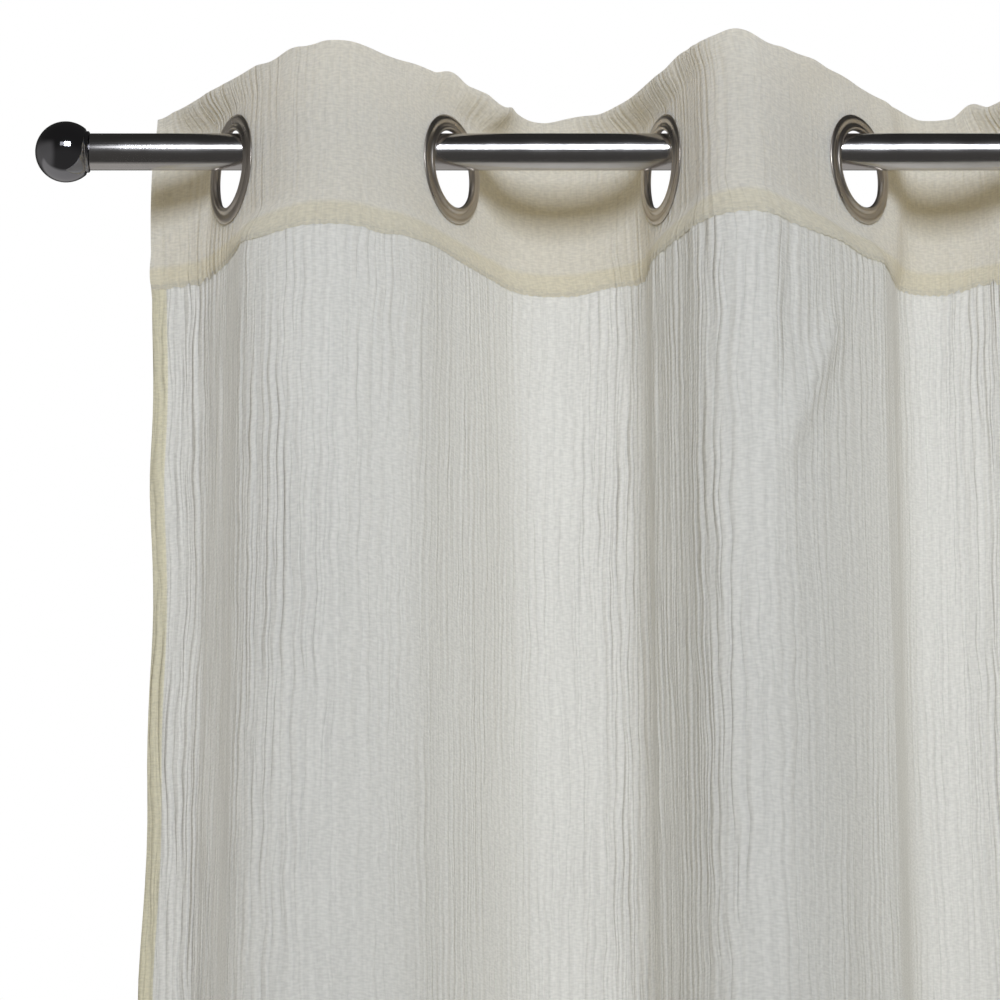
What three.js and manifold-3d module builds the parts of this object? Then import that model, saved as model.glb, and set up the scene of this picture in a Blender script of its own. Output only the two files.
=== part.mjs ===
// Eyelet curtain hanging in deep, uneven folds from a round rod with ball finials.
// Millimetres. +X runs along the rod, +Y points to the wall, +Z is up.
// The origin is on the rod's axis, halfway along the rod.
import * as THREE from 'three';
import { mergeVertices } from 'three/addons/utils/BufferGeometryUtils.js';
import Module from 'manifold-3d';

const wasm = await Module();
wasm.setup();

// Rod and finials
const ROD_LENGTH = 941;
const ROD_RADIUS = 10;
const ROD_SIDES = 32;
const FINIAL_RADIUS = 16.5;
const FINIAL_NECK_RADIUS = 11.2;
const FINIAL_NECK_LENGTH = 1.8;
const FINIAL_FACE_RADIUS = 12.3;
const FINIAL_SIDES = 24;
const FINIAL_ARC_STEPS = 9;
const FIT_GAP = 0.3;

// Cloth: 1400 mm wide and 2400 mm long when it lies flat
const HEADING_DEPTH = 101;
const CURTAIN_LENGTH = 2400;
const HEADING_THICKNESS = 2.4;
const PANEL_THICKNESS = 1.6;
const HEM_THICKNESS = 2.8;
const BOTTOM_HEM_DEPTH = 60;
const HEM_STEP = 2;

// Eyelets: snap rings that clamp the heading
const EYELET_RADIUS = 30;
const EYELET_HOLE_RADIUS = 21;
const EYELET_BARREL_WALL = 1.4;
const EYELET_RIM_HEIGHT = 1;
const EYELET_CROWN_HEIGHT = 1.9;
const EYELET_RIM_ROUNDING = 2.5;
const EYELET_LIP_ROUNDING = 2.2;
const EYELET_SIDES = 20;
const CLOTH_HOLE_RADIUS = 25;
const EYELET_HANG_GAP = 0.9;
const EYELET_TO_TOP_EDGE = 48.6;

// Heights that follow from the sizes above
const EYELET_Z = ROD_RADIUS + EYELET_HANG_GAP - EYELET_HOLE_RADIUS;
const TOP_Z = EYELET_Z + EYELET_TO_TOP_EDGE;
const SEAM_Z = TOP_Z - HEADING_DEPTH;
const HEM_Z = TOP_Z - CURTAIN_LENGTH;
const FLAT_HALF = EYELET_RADIUS + 1;
const FLAT_TOP_Z = EYELET_Z + FLAT_HALF;
const FLAT_BOTTOM_Z = EYELET_Z - FLAT_HALF;

// Columns of the sheet in each stretch of its width
const EDGE_STEPS = 4;
const FOLD_STEPS = 8;

// Turns a table of numbers into rows whose values go by the names of their columns
function table(columns, values) {
  const names = columns.split(' ');
  return values.map((row) => Object.fromEntries(names.map((name, index) => [name, row[index]])));
}

// One row per flank, left to right: the stretch of cloth that an eyelet holds flat. The cloth
// crosses the rod at along, turned by turn degrees from the rod's line. topAlong and topTurn are
// the same at the top edge. At the heading's seam it crosses at seamAlong, and its front and wall
// sides are turned by seamFront and seamBack. drift is how far it has wandered at the hem.
const FLANKS = table('along turn topAlong topTurn seamAlong seamFront seamBack drift', [
  [-393, 65, -399, 56, -395, 77, 70, -4],
  [-276, 61, -269, 50, -269, 62, 63, 6],
  [-161, 72, -169, 66, -168, 72, 84, 3],
  [-56, 54, -57, 57, -41, 54, 80, -6],
  [50, 64, 44, 58, 46, 75, 66, 5],
  [167, 58, 166, 54, 174, 58, 72, -3],
  [279, 70, 273, 62, 275, 74, 80, 4],
  [393, 62, 396, 56, 396, 74, 70, 3],
]);

// One row per fold between two eyelets: where its crest lies along the rod and how far out it
// reaches (towards the wall is positive), at the top edge, at the seam and at the hem. before and
// after say how broad the crest is on its left and right side.
const FOLDS = table('topAlong topReach seamAlong seamReach hemAlong hemReach before after', [
  [-336, -66, -344, -66, -348, -70, 0.32, 0.2],
  [-224, 63, -218, 62, -208, 64, 0.35, 0.35],
  [-125, -82, -120, -86, -114, -80, 0.35, 0.2],
  [-6, 60, -9, 61, -2, 66, 0.5, 0.3],
  [108, -70, 112, -76, 110, -72, 0.5, 0.4],
  [226, 60, 230, 62, 238, 58, 0.4, 0.6],
  [336, -72, 332, -70, 326, -76, 0.5, 0.4],
]);

// The left and the right edge of the cloth: place, reach and turn at the top edge, seam and hem
const EDGES = table('topAlong topReach topTurn seamAlong seamReach seamTurn hemAlong hemReach hemTurn', [
  [-440, 52, 34, -440, 50, 16, -434, 46, 22],
  [441, 50, 30, 440, 52, 14, 437, 56, 20],
]);
const EDGE_PULL = 0.35;
const FLANK_PULL = 0.4;

// Heights of the sheet's rows
const HEADING_ROWS = [
  TOP_Z,
  (TOP_Z + FLAT_TOP_Z) / 2,
  FLAT_TOP_Z,
  FLAT_BOTTOM_Z,
  (FLAT_BOTTOM_Z + SEAM_Z) / 2,
  SEAM_Z,
];
const PANEL_DROPS = [0, 25, 60, 110, 180, 280, 420, 600, 820, 1060, 1320, 1580, 1840, 2060];

const { lerp, smoothstep, degToRad } = THREE.MathUtils;

const fabric = new THREE.MeshStandardMaterial({ color: 0xd9dbd6, roughness: 0.95, metalness: 0 });
const headingFabric = new THREE.MeshStandardMaterial({ color: 0xcfcbbb, roughness: 0.95, metalness: 0 });
const satinNickel = new THREE.MeshStandardMaterial({ color: 0x8d867c, roughness: 0.35, metalness: 1 });
const brushedSteel = new THREE.MeshStandardMaterial({ color: 0x9a979b, roughness: 0.3, metalness: 1 });
const darkChrome = new THREE.MeshStandardMaterial({ color: 0x5a5c60, roughness: 0.08, metalness: 1 });

// How much of the top edge's, the seam's and the hem's own shape there is at a height. Between
// FLAT_TOP_Z and FLAT_BOTTOM_Z the cloth stands upright, so that each eyelet lies flat on it.
function weights(z) {
  return {
    top: smoothstep(z, FLAT_TOP_Z, TOP_Z),
    seam: smoothstep(-z, -FLAT_BOTTOM_Z, -SEAM_Z),
    hem: THREE.MathUtils.clamp((SEAM_Z - z) / (SEAM_Z - HEM_Z), 0, 1),
  };
}

// One of a fold's or an edge's values at a height. Beside the eyelets it is halfway between its
// values at the top edge and at the seam.
function valueAt(row, name, z) {
  const w = weights(z);
  const top = row[`top${name}`];
  const seam = row[`seam${name}`];
  const upper = lerp((top + seam) / 2, top, w.top);
  return lerp(lerp(upper, seam, w.seam), row[`hem${name}`], w.hem);
}

function placeAt(row, z) {
  return new THREE.Vector2(valueAt(row, 'Along', z), valueAt(row, 'Reach', z));
}

// The way along the cloth at its left edge (side -1) or its right edge (side 1)
function edgeWay(row, side, z) {
  const turn = degToRad(valueAt(row, 'Turn', z));
  return new THREE.Vector2(Math.cos(turn), side * Math.sin(turn));
}

// The flank at a height: its middle, its two ends, and its direction in plan at each end
function flankAt(index, z) {
  const row = FLANKS[index];
  const w = weights(z);
  const upperAlong = lerp(row.along, row.topAlong, w.top);
  const along = lerp(upperAlong, row.seamAlong, w.seam) + row.drift * w.hem;
  const upperTurn = lerp(row.turn, row.topTurn, w.top);
  const towardsWall = index % 2 === 0 ? -1 : 1;
  const way = (seamTurn) => {
    const turn = degToRad(lerp(upperTurn, seamTurn, w.seam));
    return new THREE.Vector2(Math.cos(turn), towardsWall * Math.sin(turn));
  };
  const middle = new THREE.Vector2(along, 0);
  const frontWay = way(row.seamFront);
  const backWay = way(row.seamBack);
  const startWay = towardsWall > 0 ? frontWay : backWay;
  const endWay = towardsWall > 0 ? backWay : frontWay;
  return {
    middle,
    startWay,
    endWay,
    start: middle.clone().addScaledVector(startWay, -FLAT_HALF),
    end: middle.clone().addScaledVector(endWay, FLAT_HALF),
  };
}

// A smooth stretch between two points, leaving and arriving along the given directions
function bend(from, leaving, leavePull, to, arriving, arrivePull) {
  const reach = from.distanceTo(to);
  return new THREE.CubicBezierCurve(
    from,
    from.clone().addScaledVector(leaving, leavePull * reach),
    to.clone().addScaledVector(arriving, -arrivePull * reach),
    to,
  );
}

// The sheet's line in plan at a height, as points evenly spaced along each stretch of its width
function planLine(z) {
  const alongRod = new THREE.Vector2(1, 0);
  const flanks = FLANKS.map((row, index) => flankAt(index, z));
  const [leftEdge, rightEdge] = EDGES;
  const first = flanks[0];
  const last = flanks[flanks.length - 1];
  const leftStrip = bend(
    placeAt(leftEdge, z), edgeWay(leftEdge, -1, z), EDGE_PULL, first.start, first.startWay, EDGE_PULL,
  );
  const rightStrip = bend(
    last.end, last.endWay, EDGE_PULL, placeAt(rightEdge, z), edgeWay(rightEdge, 1, z), EDGE_PULL,
  );
  const points = leftStrip.getSpacedPoints(EDGE_STEPS);
  flanks.forEach((flank, index) => {
    points.push(flank.middle, flank.end);
    if (index === flanks.length - 1) return;
    const fold = FOLDS[index];
    const crest = placeAt(fold, z);
    const next = flanks[index + 1];
    const path = new THREE.CurvePath();
    path.add(bend(flank.end, flank.endWay, FLANK_PULL, crest, alongRod, fold.before));
    path.add(bend(crest, alongRod, fold.after, next.start, next.startWay, FLANK_PULL));
    points.push(...path.getSpacedPoints(FOLD_STEPS).slice(1));
  });
  points.push(...rightStrip.getSpacedPoints(EDGE_STEPS).slice(1));
  return points;
}

// The way out of the sheet at each point of a plan line, long enough that both faces keep their
// distance where the line bends
function mitres(line) {
  const normals = line.slice(1).map((point, index) => {
    const along = point.clone().sub(line[index]).normalize();
    return new THREE.Vector2(along.y, -along.x);
  });
  return line.map((point, index) => {
    const before = normals[Math.max(index - 1, 0)];
    const after = normals[Math.min(index, normals.length - 1)];
    const sum = before.clone().add(after).normalize();
    return sum.divideScalar(sum.dot(before));
  });
}

// A closed sheet through the plan lines at the given heights
function sheet(heights, thicknessAt) {
  const front = [];
  const back = [];
  heights.forEach((z, row) => {
    const line = planLine(z);
    const half = thicknessAt(row) / 2;
    mitres(line).forEach((out, column) => {
      const point = line[column];
      front.push(point.x + out.x * half, point.y + out.y * half, z);
      back.push(point.x - out.x * half, point.y - out.y * half, z);
    });
  });
  const rows = heights.length;
  const columns = front.length / 3 / rows;
  const backStart = rows * columns;
  const faces = [];
  const quad = (a, b, c, d) => faces.push(a, b, c, a, c, d);
  for (let row = 0; row < rows - 1; row += 1) {
    for (let column = 0; column < columns - 1; column += 1) {
      const a = row * columns + column;
      const b = a + columns;
      quad(a, b, b + 1, a + 1);
      quad(backStart + a, backStart + a + 1, backStart + b + 1, backStart + b);
    }
  }
  const seal = (from, to) => quad(from, to, to + backStart, from + backStart);
  for (let column = 0; column < columns - 1; column += 1) {
    const last = (rows - 1) * columns + column;
    seal(column, column + 1);
    seal(last + 1, last);
  }
  for (let row = 0; row < rows - 1; row += 1) {
    const left = row * columns;
    const right = left + columns - 1;
    seal(left + columns, left);
    seal(right, right + columns);
  }
  const geometry = new THREE.BufferGeometry();
  geometry.setAttribute('position', new THREE.Float32BufferAttribute([...front, ...back], 3));
  geometry.setIndex(faces);
  geometry.computeVertexNormals();
  return geometry;
}

function toSolid(geometry) {
  const bare = geometry.clone();
  bare.deleteAttribute('normal');
  bare.deleteAttribute('uv');
  const merged = mergeVertices(bare);
  return new wasm.Manifold(new wasm.Mesh({
    numProp: 3,
    vertProperties: new Float32Array(merged.attributes.position.array),
    triVerts: new Uint32Array(merged.index.array),
  }));
}

function toGeometry(solid) {
  const mesh = solid.getMesh();
  const geometry = new THREE.BufferGeometry();
  geometry.setAttribute('position', new THREE.BufferAttribute(mesh.vertProperties, 3));
  geometry.setIndex(new THREE.BufferAttribute(mesh.triVerts, 1));
  geometry.computeVertexNormals();
  return geometry;
}

// An eyelet's own frame: its middle, with +Y standing out of the cloth's front face
function eyeletFrame(index) {
  const flank = flankAt(index, EYELET_Z);
  const frame = new THREE.Group();
  frame.position.set(FLANKS[index].along, 0, EYELET_Z);
  frame.rotation.z = Math.atan2(-flank.startWay.y, -flank.startWay.x);
  frame.updateMatrix();
  return frame;
}

function heading() {
  const strip = sheet(HEADING_ROWS, () => HEADING_THICKNESS);
  const punch = new THREE.CylinderGeometry(CLOTH_HOLE_RADIUS, CLOTH_HOLE_RADIUS, EYELET_RADIUS, EYELET_SIDES);
  let solid = toSolid(strip);
  FLANKS.forEach((row, index) => {
    const hole = punch.clone().applyMatrix4(eyeletFrame(index).matrix);
    solid = solid.subtract(toSolid(hole));
  });
  const mesh = new THREE.Mesh(toGeometry(solid), headingFabric);
  mesh.name = 'heading';
  return mesh;
}

// The drop below the seam, with a folded hem along its bottom edge
function panel() {
  const top = SEAM_Z - FIT_GAP;
  const hemTop = HEM_Z + BOTTOM_HEM_DEPTH;
  const heights = PANEL_DROPS.map((drop) => top - drop);
  heights.push(hemTop + HEM_STEP, hemTop, HEM_Z);
  const firstHemRow = heights.length - 2;
  const thicknessAt = (row) => (row >= firstHemRow ? HEM_THICKNESS : PANEL_THICKNESS);
  const mesh = new THREE.Mesh(sheet(heights, thicknessAt), fabric);
  mesh.name = 'panel';
  return mesh;
}

// The front half of an eyelet is a domed flange with the barrel through the cloth. The back half
// is a flange that snaps round the barrel.
function eyeletProfiles() {
  const seat = HEADING_THICKNESS / 2 + FIT_GAP;
  const rim = seat + EYELET_RIM_HEIGHT;
  const crown = seat + EYELET_CROWN_HEIGHT;
  const barrel = EYELET_HOLE_RADIUS + EYELET_BARREL_WALL;
  const crownOuter = EYELET_RADIUS - EYELET_RIM_ROUNDING;
  const crownInner = EYELET_HOLE_RADIUS + EYELET_LIP_ROUNDING;
  const front = [
    [barrel, seat],
    [EYELET_RADIUS, seat],
    [EYELET_RADIUS, rim],
    [crownOuter, crown],
    [crownInner, crown],
    [EYELET_HOLE_RADIUS, rim],
    [EYELET_HOLE_RADIUS, -rim],
    [barrel, -rim],
  ];
  const back = [
    [barrel + FIT_GAP, -seat],
    [barrel + FIT_GAP, -rim],
    [crownInner + FIT_GAP, -crown],
    [crownOuter, -crown],
    [EYELET_RADIUS, -rim],
    [EYELET_RADIUS, -seat],
  ];
  return { front, back };
}

function ringGeometry(profile) {
  const outline = profile.map(([radius, height]) => new THREE.Vector2(radius, height));
  outline.push(outline[0].clone());
  return new THREE.LatheGeometry(outline, EYELET_SIDES);
}

function eyelet(index, frontGeometry, backGeometry) {
  const frame = eyeletFrame(index);
  const front = new THREE.Mesh(frontGeometry, satinNickel);
  const back = new THREE.Mesh(backGeometry, satinNickel);
  front.name = `eyelet_front_${index + 1}`;
  back.name = `eyelet_back_${index + 1}`;
  frame.add(front, back);
  return frame;
}

function rod() {
  const geometry = new THREE.CylinderGeometry(ROD_RADIUS, ROD_RADIUS, ROD_LENGTH, ROD_SIDES);
  const mesh = new THREE.Mesh(geometry, brushedSteel);
  mesh.rotation.z = Math.PI / 2;
  mesh.name = 'rod';
  return mesh;
}

// A ball cut flat towards the rod, on a short neck. side is -1 for the left end and 1 for the right.
function finial(name, side) {
  const cutAngle = Math.asin(FINIAL_FACE_RADIUS / FINIAL_RADIUS);
  const centre = FINIAL_NECK_LENGTH + FINIAL_RADIUS * Math.cos(cutAngle);
  const outline = [
    new THREE.Vector2(0, 0),
    new THREE.Vector2(FINIAL_NECK_RADIUS, 0),
    new THREE.Vector2(FINIAL_NECK_RADIUS, FINIAL_NECK_LENGTH),
  ];
  for (let step = 0; step <= FINIAL_ARC_STEPS; step += 1) {
    const angle = lerp(cutAngle, Math.PI, step / FINIAL_ARC_STEPS);
    const radius = step === FINIAL_ARC_STEPS ? 0 : FINIAL_RADIUS * Math.sin(angle);
    outline.push(new THREE.Vector2(radius, centre - FINIAL_RADIUS * Math.cos(angle)));
  }
  const mesh = new THREE.Mesh(new THREE.LatheGeometry(outline, FINIAL_SIDES), darkChrome);
  mesh.position.x = side * (ROD_LENGTH / 2 + FIT_GAP);
  mesh.rotation.z = -side * Math.PI / 2;
  mesh.name = name;
  return mesh;
}

const curtain = new THREE.Group();
curtain.add(heading(), panel(), rod(), finial('finial_left', -1), finial('finial_right', 1));
const profiles = eyeletProfiles();
const frontRing = ringGeometry(profiles.front);
const backRing = ringGeometry(profiles.back);
FLANKS.forEach((row, index) => curtain.add(eyelet(index, frontRing, backRing)));

export default curtain;
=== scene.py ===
"""Looks of an eyelet curtain that hangs in deep, uneven folds from a round rod with ball finials.

Metres. +X runs along the rod, +Y points to the wall, +Z is up. The origin is on the rod's axis,
halfway along the rod.
"""

import math

import bpy
import numpy as np
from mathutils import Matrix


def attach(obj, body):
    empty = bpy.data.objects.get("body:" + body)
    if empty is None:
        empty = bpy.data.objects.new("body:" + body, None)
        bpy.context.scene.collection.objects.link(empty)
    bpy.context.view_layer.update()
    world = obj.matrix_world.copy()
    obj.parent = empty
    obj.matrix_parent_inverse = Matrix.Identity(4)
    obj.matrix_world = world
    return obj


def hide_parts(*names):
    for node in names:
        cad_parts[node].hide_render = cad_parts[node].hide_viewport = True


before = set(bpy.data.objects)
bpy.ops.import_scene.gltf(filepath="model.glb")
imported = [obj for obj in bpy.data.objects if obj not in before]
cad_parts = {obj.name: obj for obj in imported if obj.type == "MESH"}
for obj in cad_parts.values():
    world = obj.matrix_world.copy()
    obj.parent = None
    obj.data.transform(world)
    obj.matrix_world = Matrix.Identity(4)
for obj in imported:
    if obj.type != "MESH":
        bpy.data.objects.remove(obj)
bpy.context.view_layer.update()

MM = 0.001

# sizes shared with the solids
ROD_LENGTH = 941
ROD_RADIUS = 10
FINIAL_RADIUS = 16.5
FINIAL_NECK_RADIUS = 11.2
FINIAL_NECK_LENGTH = 1.8
FINIAL_FACE_RADIUS = 12.3
FIT_GAP = 0.3

HEADING_DEPTH = 101
CURTAIN_LENGTH = 2400
BOTTOM_HEM_DEPTH = 60
SIDE_HEM_WIDTH = 8

EYELET_RADIUS = 30
EYELET_HOLE_RADIUS = 21
CLOTH_HOLE_RADIUS = 25.5
EYELET_HANG_GAP = 0.9
EYELET_BELOW_TOP = 48.6
EYELET_Z = ROD_RADIUS + EYELET_HANG_GAP - EYELET_HOLE_RADIUS
TOP_Z = EYELET_Z + EYELET_BELOW_TOP
SEAM_Z = TOP_Z - HEADING_DEPTH
HEM_Z = TOP_Z - CURTAIN_LENGTH
FLAT_HALF = EYELET_RADIUS + 1
FLAT_TOP_Z = EYELET_Z + FLAT_HALF
FLAT_BOTTOM_Z = EYELET_Z - FLAT_HALF

EYELETS = 8
RING_SIDES = 72
ROUND_SIDES = 96
AXIS_RADIUS = 0.01
STRIP_WIDTH = 39
FOLD_WIDTH = 118
FLAT_WIDTH = 2 * STRIP_WIDTH + 2 * EYELETS * FLAT_HALF + (EYELETS - 1) * FOLD_WIDTH


def table(columns, values):
    """A table of numbers as one array per named column."""
    return dict(zip(columns.split(), np.array(values, float).T))


# One row per flank, the stretch of cloth that an eyelet holds flat, left to right
FLANKS = table("along turn topAlong topTurn seamAlong seamFront seamBack drift", [
    [-393, 65, -399, 56, -395, 77, 70, -4],
    [-276, 61, -269, 50, -269, 62, 63, 6],
    [-161, 72, -169, 66, -168, 72, 84, 3],
    [-56, 54, -57, 57, -41, 54, 80, -6],
    [50, 64, 44, 58, 46, 75, 66, 5],
    [167, 58, 166, 54, 174, 58, 72, -3],
    [279, 70, 273, 62, 275, 74, 80, 4],
    [393, 62, 396, 56, 396, 74, 70, 3],
])

# One row per fold between two eyelets: its crest's place and reach, and how broad it is
FOLDS = table("topAlong topReach seamAlong seamReach hemAlong hemReach before after", [
    [-336, -66, -344, -66, -348, -70, 0.32, 0.2],
    [-224, 63, -218, 62, -208, 64, 0.35, 0.35],
    [-125, -82, -120, -86, -114, -80, 0.35, 0.2],
    [-6, 60, -9, 61, -2, 66, 0.5, 0.3],
    [108, -70, 112, -76, 110, -72, 0.5, 0.4],
    [226, 60, 230, 62, 238, 58, 0.4, 0.6],
    [336, -72, 332, -70, 326, -76, 0.5, 0.4],
])

# The left and the right edge of the cloth
EDGES = table("topAlong topReach topTurn seamAlong seamReach seamTurn hemAlong hemReach hemTurn", [
    [-440, 52, 34, -440, 50, 16, -434, 46, 22],
    [441, 50, 30, 440, 52, 14, 437, 56, 20],
])
EDGE_PULL = 0.35
FLANK_PULL = 0.4

# Small rises and dips of the top edge: where on the flat cloth, how far they reach, how high
TOP_RIPPLES = table("at reach rise", [
    [2, 14, -2], [30, 26, -1], [118, 16, -2], [146, 10, -1.3], [190, 24, -2.2], [241, 15, 4],
    [285, 15, -3.4], [354, 20, 2.2], [414, 26, -0.5], [469, 15, 2], [494, 10, -1.6],
    [504, 10, -2.2], [529, 14, -2.6], [545, 26, -3.2], [600, 20, 1.2], [672, 20, 2.2],
    [728, 17, 5.4], [800, 26, -0.8], [876, 26, -3], [922, 15, 2.6],
    [1003, 24, 1.6], [1068, 16, -2.4], [1120, 18, 3.6], [1145, 12, -1.5], [1212, 24, 1.3],
    [1258, 24, -2.8], [1320, 20, 1.2], [1395, 20, -1.8],
])

# The same for the heading's seam
SEAM_RIPPLES = table("at reach rise", [
    [33, 10, -1.3], [60, 18, 0.4], [126, 24, -2.2], [185, 12, -1.7], [228, 26, 0.9], [306, 34, -0.7],
    [368, 24, 3], [407, 9, 2.2], [545, 24, -1.8], [588, 22, -2], [640, 40, -1.5], [725, 24, 2.8],
    [841, 26, -1.4], [930, 30, 1.8], [1030, 34, -1.9], [1121, 26, 1.7], [1222, 42, -1.2],
    [1292, 26, 0.9], [1352, 24, -0.8],
])

# Waves of the side edges: how far below the top, how far they reach, how far out they stand
LEFT_WAVES = table("at reach out", [
    [0, 24, 1], [50, 60, -1.8], [92, 14, -1], [165, 60, 1.6], [285, 90, 4], [400, 90, 3.2],
    [640, 170, 2.4], [1300, 300, 2.8], [2100, 300, 2.2],
])
RIGHT_WAVES = table("at reach out", [
    [0, 24, -1], [60, 60, 1.7], [125, 26, -1.2], [320, 140, -2.6], [760, 260, -2.4],
    [1500, 340, -2.2], [2250, 260, -1.6],
])

# Creases: from one place to another on the flat cloth, their reach to each side and height
CREASES = table("fromFlat fromDrop toFlat toDrop reach height", [
    [162, 50, 168, 460, 26, 2.1],
    [518, 50, 524, 330, 26, 2.3],
    [524, 108, 523, 190, 5, 0.8],
    [535, 92, 530, 180, 9, -2.4],
    [565, 140, 522, 232, 13, 4.6],
    [186, 120, 206, 200, 13, -0.9],
    [702, 40, 701, 108, 7, 0.8],
    [712, 40, 710, 118, 5, -0.7],
    [116, 150, 128, 620, 14, 0.9],
    [848, 60, 856, 420, 26, 2.2],
    [905, 130, 880, 250, 10, -1.2],
    [1096, 60, 1082, 330, 24, 2],
    [1244, 96, 1252, 380, 18, -1.4],
    [350, 300, 362, 760, 20, 1],
    [560, 420, 548, 980, 24, 1.4],
    [1196, 70, 1204, 520, 26, 2.1],
    [399, 112, 399, 1500, 34, -4.4],
    [748, 60, 746, 1100, 62, -4.6],
    [1110, 112, 1112, 1200, 34, -3],
])

# The fine ribs lie deepest on the flanks that are turned to the left, every second one
RIB_REPEAT = 2 * (2 * FLAT_HALF + FOLD_WIDTH)
RIB_DEEPEST_AT = STRIP_WIDTH + FLAT_HALF
RIB_DEPTH_LEAST = 0.1
RIB_DEPTH_MOST = 0.6

# How the random fields shape the cloth
WANDER_SHIFT = 5
WAVER_SHIFT = 1.5
SWELL_DEPTH = 1.2
RIPPLE_DEPTH = 0.6
SWELL_IN_RIBS = 0.5
EYELET_CALM = 22

# Where a crease fades in and out, as shares of its length
CREASE_RISES = (-0.12, 0.3)
CREASE_FALLS = (0.7, 1.12)

# Heights at which the ripples of the top edge and of the seam set in and end
TOP_RIPPLE_FROM = 12
SEAM_RIPPLE_FROM = -40
SEAM_RIPPLE_TO = -150
EDGE_WAVE_WIDTH = 50
CORNER_ROUNDS = 6

# the sheet's line in plan


def mix(a, b, share):
    return a + (b - a) * share


def ease(value, low, high):
    share = np.clip((value - low) / (high - low), 0, 1)
    return share * share * (3 - 2 * share)


def weights(z):
    """How much of the top edge's, the seam's and the hem's own shape there is at a height."""
    top = ease(z, FLAT_TOP_Z, TOP_Z)
    seam = ease(-z, -FLAT_BOTTOM_Z, -SEAM_Z)
    hem = np.clip((SEAM_Z - z) / (SEAM_Z - HEM_Z), 0, 1)
    return top, seam, hem


def value_at(rows, index, name, z):
    top, seam, hem = weights(z)
    at_top = rows["top" + name][index]
    at_seam = rows["seam" + name][index]
    upper = mix((at_top + at_seam) / 2, at_top, top)
    return mix(mix(upper, at_seam, seam), rows["hem" + name][index], hem)


def place_at(rows, index, z):
    return np.array([value_at(rows, index, "Along", z), value_at(rows, index, "Reach", z)])


def way_of(turn, side):
    turn = math.radians(turn)
    return np.array([math.cos(turn), side * math.sin(turn)])


def flank_at(index, z):
    """The flank at a height: its middle, ends and directions in plan."""
    top, seam, hem = weights(z)
    upper_along = mix(FLANKS["along"][index], FLANKS["topAlong"][index], top)
    along = mix(upper_along, FLANKS["seamAlong"][index], seam) + FLANKS["drift"][index] * hem
    upper_turn = mix(FLANKS["turn"][index], FLANKS["topTurn"][index], top)
    side = -1 if index % 2 == 0 else 1
    front_way = way_of(mix(upper_turn, FLANKS["seamFront"][index], seam), side)
    back_way = way_of(mix(upper_turn, FLANKS["seamBack"][index], seam), side)
    start_way, end_way = (front_way, back_way) if side > 0 else (back_way, front_way)
    middle = np.array([along, 0.0])
    return middle, start_way, end_way, middle - start_way * FLAT_HALF, middle + end_way * FLAT_HALF


def bend(start, leaving, leave_pull, end, arriving, arrive_pull, steps=48):
    """Points on a smooth stretch that leaves and arrives along the given directions."""
    reach = np.linalg.norm(end - start)
    a = start + leaving * leave_pull * reach
    b = end - arriving * arrive_pull * reach
    t = np.linspace(0, 1, steps + 1)[:, None]
    return (1 - t) ** 3 * start + 3 * (1 - t) ** 2 * t * a + 3 * (1 - t) * t ** 2 * b + t ** 3 * end


def spaced(points, shares):
    """Points at the given shares of a line's length."""
    run = np.concatenate([[0], np.cumsum(np.linalg.norm(np.diff(points, axis=0), axis=1))])
    wanted = np.asarray(shares) * run[-1]
    return np.stack([np.interp(wanted, run, points[:, k]) for k in (0, 1)], axis=1)


# Where each stretch of the sheet starts on the flat cloth: strip, then flank and fold in turn
STRETCHES = [STRIP_WIDTH] + [2 * FLAT_HALF, FOLD_WIDTH] * (EYELETS - 1) + [2 * FLAT_HALF, STRIP_WIDTH]
STARTS = np.concatenate([[0], np.cumsum(STRETCHES)])
EYELET_AT = STARTS[1:-1:2] + FLAT_HALF


def plan_line(z, flat):
    """The sheet's line in plan at a height, at the given places on the flat cloth."""
    along_rod = np.array([1.0, 0.0])
    flanks = [flank_at(index, z) for index in range(EYELETS)]
    line = np.zeros((len(flat), 2))
    for number, width in enumerate(STRETCHES):
        chosen = (flat >= STARTS[number]) & (flat <= STARTS[number + 1])
        shares = (flat[chosen] - STARTS[number]) / width
        if number == 0:
            edge = way_of(value_at(EDGES, 0, "Turn", z), -1)
            outer = place_at(EDGES, 0, z)
            path = bend(outer, edge, EDGE_PULL, flanks[0][3], flanks[0][1], EDGE_PULL)
        elif number == len(STRETCHES) - 1:
            edge = way_of(value_at(EDGES, 1, "Turn", z), 1)
            outer = place_at(EDGES, 1, z)
            path = bend(flanks[-1][4], flanks[-1][2], EDGE_PULL, outer, edge, EDGE_PULL)
        elif number % 2 == 1:
            middle, _, _, start, end = flanks[number // 2]
            path = np.array([start, middle, end])
        else:
            fold = number // 2 - 1
            crest = place_at(FOLDS, fold, z)
            before, after = flanks[fold], flanks[fold + 1]
            path = np.concatenate([
                bend(before[4], before[2], FLANK_PULL, crest, along_rod, FOLDS["before"][fold]),
                bend(crest, along_rod, FOLDS["after"][fold], after[3], after[1], FLANK_PULL)[1:],
            ])
        line[chosen] = spaced(path, shares)
    return line


# smooth random fields


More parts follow.
